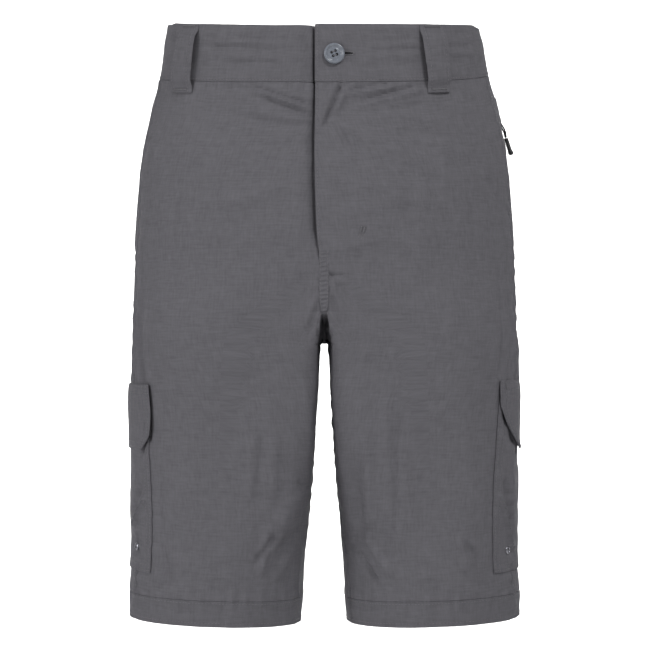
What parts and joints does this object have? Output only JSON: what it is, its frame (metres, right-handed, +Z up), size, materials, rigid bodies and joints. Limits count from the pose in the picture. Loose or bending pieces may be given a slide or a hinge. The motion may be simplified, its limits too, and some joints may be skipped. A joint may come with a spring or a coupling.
{
  "type": "convertible trousers with the lower legs zipped off, worn as shorts",
  "caption": "Hollow, filled-out knee-length trousers with lapped fly, waistband and belt loops, side cargo pockets with flaps, a hip pocket zip pull and zip-off hem bands.",
  "frame": {"origin": "middle of the waist opening, half way up the waistband at the sides, where the wearer holds the garment", "axes": "+Z up, -Y out of the front, +X to the wearer's left"},
  "size_m": [0.3706, 0.2468, 0.5688],
  "materials": {
    "cloth": "dark grey crinkled nylon, matt with a faint sheen",
    "band_cloth": "the same dark grey nylon, doubled and topstitched",
    "zip_tape": "black woven zip tape with a moulded coil",
    "zip_metal": "black painted zinc slider",
    "button_plastic": "blue-grey glossy four-hole button",
    "eyelet_metal": "dark lacquered eyelet",
    "pull_cord": "black braided cord",
    "grip_plastic": "black soft moulded grip"
  },
  "bodies": {
    "garment": {"front_right": "cloth", "front_left": "cloth", "back_right": "cloth", "back_left": "cloth", "waistband_right": "band_cloth", "waistband_left": "band_cloth", "fly_shield": "cloth", "fly_zip": "zip_tape", "belt_loop_front_right": "band_cloth", "belt_loop_front_left": "band_cloth", "belt_loop_back_right": "band_cloth", "belt_loop_back_left": "band_cloth", "belt_loop_centre_back": "band_cloth", "waist_button": "button_plastic", "hip_welt_right": "cloth", "hip_welt_left": "cloth", "hip_zip_left": "zip_tape", "hip_zip_slider": "zip_metal", "hip_zip_crown": "zip_metal", "cargo_pocket_right": "cloth", "cargo_pocket_left": "cloth", "cargo_flap_right": "cloth", "cargo_flap_left": "cloth", "cargo_eyelet_right": "eyelet_metal", "cargo_eyelet_left": "eyelet_metal", "hem_band_right": "band_cloth", "hem_band_left": "band_cloth", "hem_zip_right": "zip_tape", "hem_zip_left": "zip_tape"},
    "hip_pull": {"hip_pull_cord": "pull_cord", "hip_pull_grip": "grip_plastic"}
  },
  "joints": [
    {"name": "hip_pull_swing", "type": "hinge", "parent": "garment", "child": "hip_pull", "pos_m": [0.16628, 0.02871, -0.06115], "axis": [0.2062, -0.9785, 0], "range_deg": [0, 120]}
  ]
}
